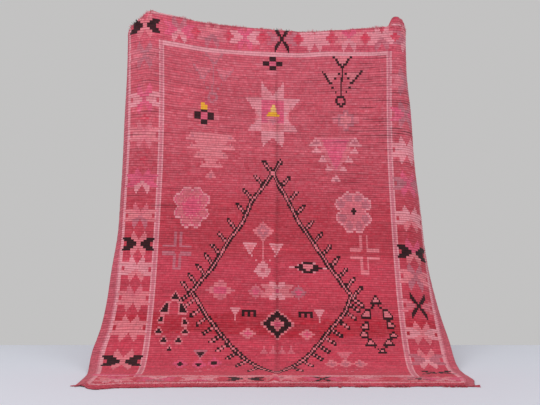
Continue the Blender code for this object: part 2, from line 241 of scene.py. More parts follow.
# back of the cloth at a place across from its middle and down from its cut top end
def clothBack(across, down):
    hem = readTable(topTable, 1, across)
    turn = np.radians(readTable(topTable, 2, across))
    slant = np.radians(readTable(topTable, 3, across))
    radius = cloth["hemRadius"]
    over = np.maximum((hem - down) * np.cos(slant) + math.pi / 2 * radius, 0.0)
    angle = np.minimum(over / radius, turn)
    rest = over - angle * radius
    climb = radius * np.sin(angle) + rest * np.cos(turn) - over
    inward = radius * (1 - np.cos(angle)) + rest * np.sin(turn)
    sidePlace = across - climb * np.sin(slant)

    pull = readTable(topTable, 4, across) * (1 - ease(cloth["pullFullTo"], cloth["pullGoneAt"], down))
    slope = cloth["rowSlope"] * across * (1 - ease(cloth["slopeFullTo"], cloth["slopeGoneAt"], down))
    distance = down - cloth["hemAtMiddle"] - pull - slope - climb * np.cos(slant)
    forward = np.interp(distance, hangDistance, hangForward)
    height = np.interp(distance, hangDistance, hangHeight) - np.minimum(distance, 0.0)
    lean = np.interp(distance, hangDistance, hangLean)

    right, rightDepth, rightTurn = sideCurl(rightTable, np.maximum(sidePlace, 0.0), down)
    left, leftDepth, leftTurn = sideCurl(leftTable, np.maximum(-sidePlace, 0.0), down)
    corner = ease(cloth["length"] - cloth["cornerPullLength"], cloth["length"], down) * ease(0.70, halfWidth, across)
    x = right - left - inward * (np.sin(rightTurn) - np.sin(leftTurn)) - cloth["cornerPull"] * corner
    depth = rightDepth + leftDepth + inward * np.cos(rightTurn + leftTurn)
    for middle, half, start, end, fade, rise in foldTable:
        arch = 0.5 + 0.5 * np.cos(math.pi * np.clip(np.abs(across - middle) / half, 0.0, 1.0))
        depth = depth - rise * arch * ease(start, start + fade, down) * (1 - ease(end - fade, end, down))
    depth = depth - creaseRise(across, down)
    y = -forward + depth * np.cos(lean)
    z = height - depth * np.sin(lean)
    return np.stack(np.broadcast_arrays(x, y, z), axis=-1)


def pileDirection(across, down):
    step = 0.001
    alongRow = clothBack(across + step, down) - clothBack(across - step, down)
    alongLength = clothBack(across, down + step) - clothBack(across, down - step)
    direction = np.cross(alongLength, alongRow)
    return direction / np.linalg.norm(direction, axis=-1, keepdims=True)


def clothThickness(across, down, end):
    fromSide = halfWidth - np.abs(across)
    fromEnd = np.minimum(down, end - down)
    inside = ease(cloth["selvedge"] - cloth["thicknessStep"], cloth["selvedge"], fromSide)
    inside = inside * ease(cloth["endWeb"] - cloth["thicknessStep"], cloth["endWeb"], fromEnd)
    return cloth["web"] + (cloth["pile"] - cloth["web"]) * inside


# smooth noise over the knots, with its own grain across and down
def softNoise(seed, rows, columns, grainDown, grainAcross):
    maker = np.random.default_rng(seed)
    tall = int(rows / grainDown) + 3
    wide = int(columns / grainAcross) + 3
    coarse = maker.normal(0.0, 1.0, (tall, wide))
    r = np.arange(rows) / grainDown
    c = np.arange(columns) / grainAcross
    r0 = r.astype(int)
    c0 = c.astype(int)
    fr = ((r - r0) ** 2 * (3 - 2 * (r - r0)))[:, None]
    fc = ((c - c0) ** 2 * (3 - 2 * (c - c0)))[None, :]
    top = coarse[r0][:, c0] * (1 - fc) + coarse[r0][:, c0 + 1] * fc
    low = coarse[r0 + 1][:, c0] * (1 - fc) + coarse[r0 + 1][:, c0 + 1] * fc
    return top * (1 - fr) + low * fr


# the knot chart: one wool tone for each knot, columns counted from the middle
chart = {
    "columns": 235,
    "rows": 185,
    "guardInner": (85, 88),       # knots from the middle
    "guardOuter": (110, 111),
    "guardTopRows": (15, 17),
    "guardLowRows": (169, 171),
    "edgeTopRows": (3, 4),
    "edgeLowRows": (180, 182),
}
tones = ["field", "pale", "salmon", "mauve", "hot", "black", "yellow", "straw", "deep", "guard", "guardMiddle", "selvedge", "web", "faint"]
toneOf = {name: number for number, name in enumerate(tones)}
toneColour = {
    "pale": (226, 150, 160),
    "salmon": (218, 124, 134),
    "mauve": (176, 106, 120),
    "hot": (214, 82, 118),
    "black": (14, 10, 13),
    "yellow": (238, 168, 40),
    "straw": (230, 182, 96),
    "deep": (198, 48, 72),
    "guard": (224, 152, 162),
    "guardMiddle": (202, 116, 131),
    "selvedge": (184, 82, 98),
    "web": (186, 60, 80),
    "faint": (208, 110, 124),
}
# ground wool changes down the rug with its dye lots: row, colour
fieldTable = [
    (0, 198, 74, 94), (14, 198, 74, 94), (18, 196, 80, 97), (44, 190, 74, 90), (58, 190, 74, 90),
    (62, 184, 66, 82), (76, 184, 64, 81), (84, 178, 54, 70), (104, 178, 52, 68), (111, 190, 60, 80),
    (122, 186, 56, 75), (132, 186, 54, 73), (133.5, 172, 34, 52), (141, 173, 35, 53), (142.5, 188, 56, 76),
    (160, 195, 60, 82), (172, 196, 56, 78), (185, 192, 54, 74),
]
knotColumn = np.arange(chart["columns"])[None, :] - chart["columns"] // 2 + 0.0 * np.arange(chart["rows"])[:, None]
knotRow = np.arange(chart["rows"])[:, None] + 0.5 + 0.0 * knotColumn
knotWide = cloth["width"] / chart["columns"]
knotTall = cloth["length"] / chart["rows"]
knotTone = np.zeros((chart["rows"], chart["columns"]), dtype=int)


def paint(mask, tone):
    knotTone[mask] = toneOf[tone]


def inside(points):
    within = np.zeros(knotTone.shape, dtype=bool)
    for (c0, r0), (c1, r1) in zip(points, points[1:] + points[:1]):
        if r0 != r1:
            crosses = (knotRow >= min(r0, r1)) & (knotRow < max(r0, r1))
            within ^= crosses & (knotColumn < c0 + (knotRow - r0) * (c1 - c0) / (r1 - r0))
    return within


def fill(points, tone):
    paint(inside(points), tone)


def block(column, row, halfWide, halfTall, tone):
    paint((np.abs(knotColumn - column) <= halfWide) & (np.abs(knotRow - row) <= halfTall), tone)


def diamond(column, row, halfWide, halfTall, tone):
    paint(np.abs(knotColumn - column) / halfWide + np.abs(knotRow - row) / halfTall <= 1.0, tone)


def mirrored(points, column):
    return [(2 * column - c, r) for c, r in points]


def flipped(points, row):
    return [(c, 2 * row - r) for c, r in points]


# distance of each knot from a straight line, in knot widths
def lineDistance(start, end):
    tall = knotTall / knotWide
    dc, dr = end[0] - start[0], (end[1] - start[1]) * tall
    pc, pr = knotColumn - start[0], (knotRow - start[1]) * tall
    along = np.clip((pc * dc + pr * dr) / (dc * dc + dr * dr), 0.0, 1.0)
    return np.hypot(pc - along * dc, pr - along * dr)


def stroke(start, end, half, tone, everyOther=False):
    near = lineDistance(start, end) <= half
    if everyOther:
        near &= (np.floor(knotRow) % 2 == 0)
    paint(near, tone)


# two black lines with a pale line of knots between them
def ladder(lines, half):
    away = np.min([lineDistance(start, end) for line in lines for start, end in zip(line, line[1:])], axis=0)
    paint(away <= half, "black")
    paint(away <= 0.50, "salmon")


# motif charts, a letter for each knot: a arm, w wing, # body, o rim
starHalf = [
    ".......a...",
    "......aaa..",
    "......aaaa.",
    "wwwwwwaaaaa",
    ".wwwwwwwaaa",
    "...wwwwwwwa",
]
crossHalf = [
    "......a....",
    "......aa...",
    "......aaa..",
    "wwww...aaa.",
    ".wwwwww.aaa",
    "...wwwwww.a",
]
ringCharts = {
    "peak": ["...o...", "..o#o..", ".o###o.", "o#####o", ".ooooo."],
    "wing": ["....ooo.", "...o##o.", "..o###o.", ".o####o.", "o#####o.", ".oooooo."],
    "fin": ["..ooo", ".o##o", "o###o", ".oooo"],
    "low": ["..oo..", ".o##o.", "o####o", ".oooo."],
    "toe": [".o.", "o#o", "###"],
    "rimPeak": ["...oo...", "..o##o..", ".o####o.", "oooooooo"],
    "rimWing": ["...oooo.", "..o###o.", ".o####o.", "o#####o.", "ooooooo."],
    "rimFin": ["...ooo", ".oo##o", "o####o", ".ooooo"],
    "rimLow": ["..oo...", ".o##oo.", "o####o.", ".ooooo."],
    "rimToe": ["..oo..", ".o##o.", "oooooo"],
}


def stamp(column, row, lines, key, mirror=False):
    firstRow = int(round(row - len(lines) / 2))
    firstColumn = int(round(column - len(lines[0]) / 2 + 0.5)) + chart["columns"] // 2
    for r, line in enumerate(lines):
        for c, letter in enumerate(line[::-1] if mirror else line):
            if letter in key:
                knotTone[firstRow + r, firstColumn + c] = toneOf[key[letter]]


# star of eight points: arms up and down, and a notched wing at each side
def star(column, row, arms, wings, lowArms=None, half=starHalf, rows=6):
    upper = [line + (line[-1] if r >= 4 + (half is crossHalf) else ".") + line[::-1] for r, line in enumerate(half)]
    upper = upper[6 - rows:]
    stamp(column, row - rows / 2, upper, {"a": arms, "w": wings})
    stamp(column, row + rows / 2, upper[::-1], {"a": lowArms or arms, "w": wings})


def fourBlocks(column, row, core, top=None):
    for c, r in ((0, -2), (-5, 0), (5, 0), (0, 2)):
        block(column + c, row + r, 2.4, 1.0, "black")
    block(column, row, 2.4, 1.0, core)
    for side in (-1, 1):
        block(column + side * 10, row + 0.5, 2.2, 0.6, "faint")
    block(column - 1, row + 4.0, 3.0, 0.6, "faint")
    if top:
        block(column, row - 3.6, 2.4, 0.7, top)
        block(column - 1.0, row - 4.6, 1.5, 0.5, top)


# brooch: an open V over a stem, a triangle at each side and a ring below
def brooch(column, row, line, body, thin=0.8):
    fill([(column - 6.6, row), (column + 6.6, row), (column, row + 4.2)], body)
    for side in (-1, 1):
        stroke((column + side * 7, row), (column + side * 1, row + 4.2), thin, line)
    block(column, row + 4.9, 1.6, 0.55, line)
    stroke((column, row + 5), (column - 1.3, row + 17), thin * 0.75, line)
    for side, near, far, low in ((-1, -2.0, -15.0, -9.0), (1, 2.2, 14.4, 7.2)):
        fill([(column + near, row + 7.2), (column + far, row + 6.6), (column + low, row + 11.6)], body)
        stroke((column + near, row + 7.2), (column + low, row + 11.7), thin, line, line == "black")
        stroke((column + far, row + 6.6), (column + low, row + 11.7), thin, line)
        block(column + low, row + 11.8, 1.5, 0.5, line)
        stroke((column + low, row + 12), (column + side * 2.2 - 1.2, row + 17.0), thin * 0.75, line, True)
    away = np.hypot(knotColumn - column + 1.2, (knotRow - row - 19.2) * knotTall / knotWide)
    paint(away <= 4.2, line)
    paint(away <= 2.3, "field")


# hanging tree: tiers of ears, each a peak with a flat foot whose tip points outwards
hangingTree = {
    "ears": [(0.0, 14.6, 3.8, 20.2, 9.5), (4.5, 14.6, 7.6, 18.8, 10.0), (7.9, 9.6, 11.5, 13.8, 6.3), (12.6, 6.4, 15.5, 9.0, 1.3)],
    "foot": (16.4, 20.6, 4.4),
}


def hangTree(column, row, body, rim, inner, heart):
    top, low, half = hangingTree["foot"]
    fill([(column - 14.6, row + 0.6), (column + 14.6, row + 0.6), (column + 1.6, row + 15.4), (column - 1.6, row + 15.4)], body)
    for number, (peakRow, peak, tipRow, tip, foot) in enumerate(hangingTree["ears"]):
        quad = [(column - peak, row + peakRow + 0.6), (column + peak, row + peakRow + 0.6), (column + foot + 1, row + tipRow), (column - foot - 1, row + tipRow)]
        fill(quad, body)
        for side in (-1, 1):
            fill([(column + side * peak, row + peakRow), (column + side * tip, row + tipRow), (column + side * foot, row + tipRow)], rim)
            if number < 3:
                fill([
                    (column + side * peak, row + peakRow + 1.2),
                    (column + side * (tip - 3.2), row + tipRow - 0.9),
                    (column + side * (foot + 2.0), row + tipRow - 0.9),
                ], inner)
    fill([(column - 10.0, row + 1.6), (column + 10.0, row + 1.6), (column + 1.0, row + 14.0), (column - 1.0, row + 14.0)], heart)
    fill([(column, row + top), (column + half, row + low), (column - half, row + low)], rim)
    block(column, row + low - 1.2, half * 0.30, 0.6, inner)


# flower of eight round petals in four lobes, rimmed and parted by pale knots
flower = {
    "petals": [
        (-3.7, -6.4, 4.7, 3.0), (3.7, -6.4, 4.7, 3.0), (-8.8, -3.5, 4.7, 3.1), (8.8, -3.5, 4.7, 3.1),
        (-8.2, 2.9, 4.7, 3.1), (8.2, 2.9, 4.7, 3.1), (-3.5, 6.3, 4.4, 3.0), (3.5, 6.3, 4.4, 3.0),
        (0.0, 0.0, 9.6, 5.0),
    ],
}


def petalReach(column, row, number):
    c, r, wide, tall = flower["petals"][number]
    return np.hypot((knotColumn - column - c) / wide, (knotRow - row - r) / tall)


def bloom(column, row, rim, body, inner, veins):
    reaches = [petalReach(column, row, number) for number in range(len(flower["petals"]))]
    whole = np.min(reaches, axis=0) <= 1.0
    deepIn = whole.copy()
    for shift, axis in ((1, 0), (-1, 0), (1, 1), (-1, 1)):
        deepIn &= np.roll(whole, shift, axis)
    paint(whole, rim)
    paint(deepIn, body)
    for reach in reaches[:8]:
        paint(deepIn & (reach <= 0.62), inner)
        paint(deepIn & (reach > 0.80) & (reach <= 1.0) & (np.floor(knotRow + knotColumn) % 2 == 0), veins)


# outline of a cross: four angles that don't meet
def crossOutline(column, row, tone, closedFoot):
    for side in (-1, 1):
        for up in (-1, 1):
            block(column + side * 2.3, row + up * 5.0, 0.9, 3.4, tone)
            block(column + side * 6.3, row + up * 1.7, 4.2, 0.6, tone)
    if closedFoot:
        block(column, row + 8.1, 2.8, 0.7, tone)


# ends, borders and guards
side = np.abs(knotColumn)
for start, end in ((0, 2), (183, 185)):
    paint((knotRow > start) & (knotRow < end), "web")
for rows, reach in (("guardTopRows", "guardInner"), ("guardLowRows", "guardInner"), ("edgeTopRows", "guardOuter"), ("edgeLowRows", "guardOuter")):
    first, last = chart[rows]
    band = (knotRow > first) & (knotRow < last) & (side <= chart[reach][1])
    paint(band, "guard")
first, last = chart["guardInner"]
innerRows = (knotRow > chart["guardTopRows"][0]) & (knotRow < chart["guardLowRows"][1])
paint((side >= first) & (side <= last) & innerRows, "guard")
paint((side > first) & (side < last) & innerRows, "guardMiddle")
first, last = chart["guardOuter"]
outerRows = (knotRow > 3) & (knotRow < 182)
paint((side >= first) & (side <= last) & outerRows, "guard")
paint((side == last + 1) & outerRows & (knotRow > 105), "guardMiddle")
paint((side > last) & (knotTone != toneOf["guardMiddle"]), "selvedge")

# top and bottom borders: column, arms, wings, lower arms
topStars = [
    (-99, "salmon", "black", "salmon"), (-73.5, "mauve", "hot", "pale"), (-48, "salmon", "faint", "mauve"),
    (-22.5, "hot", "pale", "hot"), (4.6, "black", "mauve", "black"), (30, "pale", "pale", "pale"),
    (56, "hot", "salmon", "pale"), (81, "pale", "pale", "mauve"), (101, "salmon", "mauve", "pale"),
]
for column, arms, wings, lowArms in topStars:
    star(column, 9.0, arms, wings, lowArms, crossHalf if arms == "black" else starHalf)
for column in (-60.5, -35.3, -9.5, 17.5, 43, 68.5, 91):
    diamond(column, 8.8, 4.0, 2.1, "deep")
lowStars = [
    (-98, "hot", "salmon", "pale"), (-73, "pale", "hot", "mauve"), (-47, "salmon", "pale", "hot"), (-19.5, "salmon", "black", "salmon"),
    (4, "pale", "salmon", "hot"), (27.6, "black", "hot", "black"), (54, "pale", "faint", "hot"), (86, "mauve", "faint", "salmon"),
    (101, "salmon", "hot", "pale"),
]
for column, arms, wings, lowArms in lowStars:
    star(column, 175.0, arms, wings, lowArms, crossHalf if arms == "black" else starHalf, 4)
diamond(86.4, 175.4, 8.0, 1.2, "black")

# side borders: row, arms, wings, lower arms
leftStars = [
    (22.5, "mauve", "faint", "mauve"), (40, "hot", "pale", "hot"), (54.5, "faint", "salmon", "faint"),
    (74.5, "hot", "hot", "pale"), (89.5, "faint", "salmon", "mauve"), (103, "salmon", "black", "salmon"),
    (114.5, "pale", "pale", "salmon"), (127, "faint", "salmon", "salmon"), (140.5, "salmon", "salmon", "salmon"),
    (155, "salmon", "black", "salmon"),
]
for row, arms, wings, lowArms in leftStars:
    star(-98.5, row, arms, wings, lowArms)
diamond(-98.5, 47.4, 3.0, 1.4, "deep")
diamond(-98.5, 64.5, 3.0, 1.4, "deep")
rightStars = [
    (28, "mauve", "faint", "mauve"), (42.5, "mauve", "hot", "mauve"), (57, "pale", "pale", "pale"),
    (71.5, "hot", "mauve", "hot"), (88, "pale", "pale", "salmon"), (102.8, "hot", "black", "salmon"),
    (114.5, "mauve", "salmon", "mauve"), (127.4, "black", "faint", "black"), (139.5, "salmon", "pale", "salmon"),
    (154.5, "salmon", "mauve", "pale"),
]
for row, arms, wings, lowArms in rightStars:
    star(98.5, row, arms, wings, lowArms, crossHalf if arms == "black" else starHalf)
for start, end in (((94, 162.6), (110, 166.6)), ((109, 162.6), (93, 166.6))):
    stroke(start, end, 1.1, "black")
block(-99, 168, 14, 1.1, "hot")
block(-101, 169.4, 9, 0.6, "pale")

# upper field
fourBlocks(-2, 20, "hot")
fourBlocks(-54.4, 44.5, "hot", "yellow")
brooch(51, 17, "black", "salmon")
brooch(-46.5, 17, "mauve", "faint", 0.7)
bigStar = [(-2, 33.6), (-11, 27.6), (-10.4, 35.5), (-22.6, 35.5), (-12.6, 43), (-22, 50.5), (-10.4, 50.5), (-9.8, 57), (-2, 52.6)]
for points in (bigStar, mirrored(bigStar, -2)):
    fill(points, "pale")
for side in (-1, 1):
    fill([(-2 + side * 10, 43), (-2 + side * 15, 38.5), (-2 + side * 12, 43), (-2 + side * 15, 47.5)], "salmon")
fill([(-10.4, 36), (6.4, 36), (6.4, 50), (-10.4, 50)], "hot")
fill([(-10.4, 45.6), (6.4, 45.6), (6.4, 50), (-10.4, 50)], "salmon")
fill([(-7.6, 43.4), (4.0, 43.4), (-2, 49.0)], "faint")
fill([(-4.2, 44.2), (0.8, 44.2), (-1.8, 47.2)], "mauve")
fill([(-5.6, 42.8), (2.8, 42.8), (-1.2, 38.0), (-2.0, 38.0)], "straw")
fill([(-6.8, 42.9), (3.6, 42.9), (1.0, 41.0), (-4.6, 41.0)], "yellow")
for wide, tall, tone in ((9.6, 1.2, "faint"), (2.2, 4.4, "mauve"), (5.6, 2.4, "mauve"), (4.2, 1.7, "salmon"), (1.2, 3.2, "salmon")):
    block(53.5, 44.5, wide, tall, tone)
hangTree(-48.4, 51.6, "salmon", "salmon", "mauve", "salmon")
hangTree(45.4, 51.8, "faint", "pale", "mauve", "hot")
bloom(-61.8, 85.4, "pale", "hot", "faint", "salmon")
bloom(57.4, 85.8, "pale", "faint", "mauve", "salmon")
block(57.4, 85.6, 0.8, 1.9, "black")
block(57.4, 85.6, 2.2, 0.8, "black")
crossOutline(-70.6, 105.2, "mauve", True)
crossOutline(63.6, 104.8, "salmon", True)

# barbed lozenge: the four sides, and the root and lean of its barbs
leftSide = [(-2.4, 69.4), (-9.7, 75.9), (-17.7, 82.2), (-24, 92), (-33, 99.6), (-45, 112.6), (-60.1, 124.5), (-66.4, 127.8)]
rightSide = [(-1.6, 69.4), (9, 81.1), (17, 91.1), (22.4, 95.8), (38.7, 111.2), (53.9, 124.6), (60.2, 128.0)]
leftFoot = [(-58.6, 123.6), (-46.7, 134.9), (-30.7, 147), (-20.4, 153.7), (-10.3, 159.1), (0.5, 164.0)]
rightFoot = [(52.6, 123.6), (47.7, 131.1), (36.7, 139.2), (29.4, 145.4), (19, 153.7), (9, 159.1), (0.5, 164.0)]
lozenge = [leftSide, rightSide, leftFoot, rightFoot, [(-2.4, 69.4), (4.0, 63.5)], [(-1.6, 69.4), (-8.6, 63.7)]]
barbs = []
for line, lean, rows in (
    (leftSide, (-6.2, -4.4), (75.0, 81.6, 88.2, 95.6, 101.6, 106.8, 111.6, 116.2, 120.6, 124.0)),
    (rightSide, (6.2, -4.4), (75.4, 81.8, 88.2, 94.8, 100.4, 106.0, 111.2, 116.0, 120.4, 124.4)),
    (leftFoot, (-6.8, 3.2), (126.6, 130.8, 134.8, 138.6, 142.4, 146.2, 150.4, 154.6, 158.8)),
    (rightFoot, (6.8, 3.2), (126.8, 130.8, 134.8, 138.8, 142.6, 146.6, 150.6, 154.8, 158.8)),
):
    for row in rows:
        column = np.interp(row, [place[1] for place in line], [place[0] for place in line])
        barbs.append([(column, row), (column + lean[0], row + lean[1])])
ladder(barbs, 1.50)
ladder(lozenge, 1.80)

# upper part of the lozenge
diamond(-9, 95.7, 7.4, 4.6, "salmon")
diamond(-9, 95.7, 4.8, 2.9, "mauve")
diamond(-9, 95.7, 2.2, 1.4, "salmon")
stroke((-9, 99.6), (-9, 110), 0.9, "salmon")
for side in (-1, 1):
    fill([(-9 + side * 3.6, 101.0), (-9 + side * 15.2, 101.2), (-9 + side * 9.5, 106.4)], "pale")
    fill([(-9 + side * 5.6, 101.8), (-9 + side * 12.2, 101.8), (-9 + side * 9.3, 104.8)], "salmon")
    stroke((-9 + side * 9.5, 105.5), (-9 + side * 2, 110.5), 0.7, "pale", True)
for c, r, wide, tall, tone in (
    (0, -1.7, 3.4, 1.9, "pale"), (-3.0, 0.4, 2.6, 1.9, "pale"), (3.0, 0.4, 2.6, 1.9, "pale"), (0, 2.0, 2.6, 1.7, "pale"), (0, 0.2, 1.8, 1.2, "faint"),
):
    diamond(-9.2 + c, 112.8 + r, wide * 1.3, tall * 1.3, tone)
for wide, tall, tone in (
    (13.6, 0.6, "pale"), (7.6, 1.7, "pale"), (5.0, 2.8, "pale"), (9.8, 0.7, "black"), (7.0, 1.6, "black"), (3.8, 2.6, "black"),
    (3.4, 1.0, "salmon"), (1.6, 1.5, "salmon"),
):
    block(23.2, 111.4, wide, tall, tone)
for wide, tall, tone in ((10.6, 0.9, "faint"), (7.4, 1.9, "salmon"), (4.6, 3.2, "salmon"), (1.8, 4.2, "faint"), (4.4, 1.2, "hot")):
    block(-38.8, 122.6, wide, tall, tone)

# middle of the lozenge: plain diamond, comb and small star motifs
for column, tone in ((-14, "faint"), (16, "mauve")):
    diamond(column, 122.6, 6.0, 3.2, tone)
    diamond(column, 122.6, 3.0, 1.6, "hot")
star(1, 122.0, "pale", "salmon", None, starHalf, 4)
diamond(1, 122.0, 2.6, 1.4, "hot")
for side in (-1, 1):
    fill([(1 + side * 33, 129.6), (1 + side * 25, 129.6), (1 + side * 29, 133.6)], "pale")
    block(1 + side * 29, 134.4, 0.9, 1.2, "pale")
    block(1 + side * 19.5, 131.4, 4.6, 0.6, "black")
    for tooth in (-4, 0, 4):
        block(1 + side * 19.5 + tooth, 132.8, 0.9, 1.2, "black")
    diamond(1 + side * 20, 141.6, 5.2, 2.7, "salmon")
    diamond(1 + side * 20, 141.6, 2.4, 1.2, "hot")
for half, tone in ((12.0, "salmon"), (10.2, "black"), (5.4, "salmon"), (3.2, "hot")):
    diamond(1, 137.0, half, half * 0.60, tone)
for column in (-9, -3, 3, 9):
    fill([(1 + column - 2.6, 150.6), (1 + column + 2.6, 150.6), (1 + column, 147.4)], "faint")

# ring of triangles at each side: shift, row, chart, mirrored
leftRing = [
    (0.6, 125.2, "peak", False), (-5.8, 131.0, "wing", False), (5.8, 131.2, "wing", True), (-8.4, 136.4, "fin", False), (8.4, 136.6, "fin", True),
    (-9.2, 140.6, "low", False), (9.4, 140.8, "low", True), (-5.4, 144.8, "low", False), (5.4, 144.8, "low", True), (0, 148.6, "toe", False),
]
rightRing = [
    (-0.4, 125.4, "rimPeak", False), (-6.9, 131.2, "rimWing", False), (6.9, 131.2, "rimWing", True), (-9.3, 136.6, "rimFin", False), (9.3, 136.4, "rimFin", True),
    (-9.4, 141.0, "rimLow", False), (9.6, 140.8, "rimLow", True), (-5.8, 145.4, "rimPeak", False), (5.8, 145.4, "rimPeak", False), (0.6, 149.6, "rimToe", False),
]
for centre, ring, body, rim in ((-70.6, leftRing, "black", "salmon"), (69.6, rightRing, "salmon", "black")):
    for first, second in ((0, 1), (0, 2), (5, 7), (6, 8), (7, 9), (8, 9)):
        start, end = ring[first], ring[second]
        stroke((centre + start[0], start[1] + 1), (centre + end[0], end[1]), 0.6, rim, rim == "salmon")
    for shift, row, name, mirror in ring:
        stamp(centre + shift, row, ringCharts[name], {"#": body, "o": rim}, mirror)

# small diamonds near the lower end
for column, row in ((-62.4, 156.4), (-50.1, 156.8), (-40.1, 156.0)):
    diamond(column, row, 5.4, 3.0, "hot")
    block(column, row, 1.9, 0.6, "black")
    block(column, row, 0.9, 1.2, "black")
stroke((-60, 160), (-50.1, 163), 0.5, "faint", True)
stroke((-42, 160), (-50.1, 163), 0.5, "faint", True)
fill([(-55.0, 149.4), (-45.2, 149.4), (-50.1, 153.6)], "mauve")
fill([(-53.4, 149.8), (-46.8, 149.8), (-50.1, 152.6)], "black")
for column in (36.2, 45.2, 54.6):
    diamond(column, 156.6, 5.0, 2.9, "salmon")
    diamond(column, 156.6, 2.8, 1.5, "mauve")
    stroke((column, 159), (45.2, 164.5), 0.5, "faint", True)
fill([(39.5, 150.0), (51, 150.0), (45.2, 154.2)], "faint")
print("chart painted,", chart["rows"], "rows of", chart["columns"], "knots")


# wool colours of the knots, with uneven dye, streaks and faded motifs; the ridge colours carry a painted highlight on
# the tips
woolLook = {
    "rowUneven": 0.020,
    "streak": 0.045,
    "knotUneven": 0.055,
    "broadUneven": 0.030,
    "fadeTop": 0.20,        # share of ground colour worn into the motifs, near the top
    "fadeLow": 0.12,
    "gain": 1.20,
    # ridge: painted highlight, a brightening of every ridge corner
    "ridge": 1.12,
    "tipHighlightTone": (238, 168, 180),
    "tipHighlightTop": 0.11,      # share of painted highlight on the ridge tips
    "tipHighlightLow": 0.05,
    # valley, creaseShade and guardValley: painted shade in the valleys between rows, along the middle crease and in
    # the guard valleys
    "valley": 0.22,
    "creaseShade": 0.26,
    "guardValley": 0.26,
    "valleyGround": {"black": 0.10, "yellow": 0.20, "straw": 0.25, "guard": 0.30, "guardMiddle": 0.30, "selvedge": 0.3, "deep": 0.5},
    "plainValleyGround": 0.42,
}
# where the rows gape, painted shade between them: row, column, reach down, reach across, depth
gapeShadeTable = [
    (38, 75, 26, 40, 0.34), (50, 98, 12, 14, 0.30), (86, -86, 12, 34, 0.30), (30, -96, 26, 20, 0.26),
    (48, 0, 12, 60, 0.14), (74, 60, 10, 50, 0.16), (58, -96, 10, 16, 0.22), (142, -70, 3, 50, 0.34), (100, 98, 8, 14, 0.20),
]


# the middle crease on the chart: row, column
creaseLine = [(14, 0.8), (34, 1.0), (50, 1.8), (62, 1.2), (76, 1.6), (100, 1.0), (125, 0.8), (150, 0.6), (170, 0.0)]


def toLinear(colour):
    colour = np.asarray(colour, dtype=float) / 255.0
    return np.where(colour <= 0.04045, colour / 12.92, ((colour + 0.055) / 1.055) ** 2.4)


def knotColours():
    rows, columns = knotTone.shape
    rowPlaces = [row[0] for row in fieldTable]
    field = np.stack([np.interp(np.arange(rows), rowPlaces, [row[k] for row in fieldTable]) for k in (1, 2, 3)], axis=-1)
    wander = np.round(softNoise(3, rows, columns, 6, 30) * 0.8).astype(int)
    ground = toLinear(field)[np.clip(np.arange(rows)[:, None] + wander, 0, rows - 1)]
    colours = ground.copy()
    fade = woolLook["fadeLow"] + (woolLook["fadeTop"] - woolLook["fadeLow"]) * (1 - ease(60, 120, np.arange(rows)))[:, None]
    fade = np.clip(fade * (1.0 + 0.55 * softNoise(11, rows, columns, 1, 9)), 0.0, 0.85)
    for name, colour in toneColour.items():
        here = knotTone == toneOf[name]
        share = fade[here][:, None]
        if name in ("black", "yellow", "straw"):
            share = share * 0.06
        elif name in ("selvedge", "web", "guard", "guardMiddle", "deep"):
            share = share * 0.45
        colours[here] = toLinear(colour) * (1 - share) + ground[here] * share
    maker = np.random.default_rng(7)
    uneven = 1 + woolLook["rowUneven"] * maker.normal(0, 1, (rows, 1))
    uneven = uneven * (1 + woolLook["streak"] * softNoise(21, rows, columns, 1, 14))
    uneven = uneven * (1 + woolLook["broadUneven"] * softNoise(31, rows, columns, 12, 24))
    uneven = uneven * (1 + woolLook["knotUneven"] * maker.normal(0, 1, (rows, columns)))
    # painted shade along the middle crease, with a painted highlight four knots to its left
    middle = np.interp(np.arange(rows), [row for row, column in creaseLine], [column for row, column in creaseLine])[:, None]
    away = np.arange(columns)[None, :] - columns // 2 - middle
    creaseShading = woolLook["creaseShade"] * ease(14, 34, np.arange(rows)) * (1 - ease(152, 166, np.arange(rows)))
    uneven = uneven * (1 - creaseShading[:, None] * np.exp(-(away / 1.5) ** 2)) * (1 + 0.35 * creaseShading[:, None] * np.exp(-((away + 4.0) / 2.2) ** 2))
    share = np.full((rows, columns), woolLook["plainValleyGround"])
    for name, value in woolLook["valleyGround"].items():
        share[knotTone == toneOf[name]] = value
    valleys = colours * (1 - share[..., None]) + ground * share[..., None]
    # painted highlight: the ridge tips are mixed towards a pale pink, more near the top and only a little on black and
    # yellow knots
    tips = woolLook["tipHighlightLow"] + (woolLook["tipHighlightTop"] - woolLook["tipHighlightLow"]) * (1 - ease(50, 100, np.arange(rows)))[:, None]
    tips = np.clip(tips * (1 + 0.7 * softNoise(87, rows, columns, 1, 2)), 0.0, 0.5)
    tips = np.where((knotTone == toneOf["black"]) | (knotTone == toneOf["yellow"]), 0.15 * tips, tips)[..., None]
    ridges = colours * (1 - tips) + toLinear(woolLook["tipHighlightTone"]) * tips
    gain = uneven[..., None] * woolLook["gain"]
    return ridges * gain, valleys * gain


# painted shade for the valley corners: an even darkening with noise, deeper where the rows gape
def paintValleyShade():
    rows, columns = chart["rows"] + 1, chart["columns"]
    gape = 1.0 + 0.35 * softNoise(81, rows, columns, 1, 8)
    dark = woolLook["valley"] * gape
    r = np.arange(rows)[:, None]
    c = np.arange(columns)[None, :] - columns // 2
    thin = np.clip(softNoise(83, rows, columns, 1, 11) - 0.15, 0.0, 1.6)
    for row, column, down, across, depth in gapeShadeTable:
        near = np.exp(-((r - row) / down) ** 2 - ((c - column) / across) ** 2)
        dark = dark + depth * near * thin
    return np.clip(dark, 0.04, 0.80)


# ridge colours with the painted highlight, and valley colours that take the painted shade below
highlitColourOfKnot, valleyOfKnot = knotColours()
valleyShadeAmount = paintValleyShade()


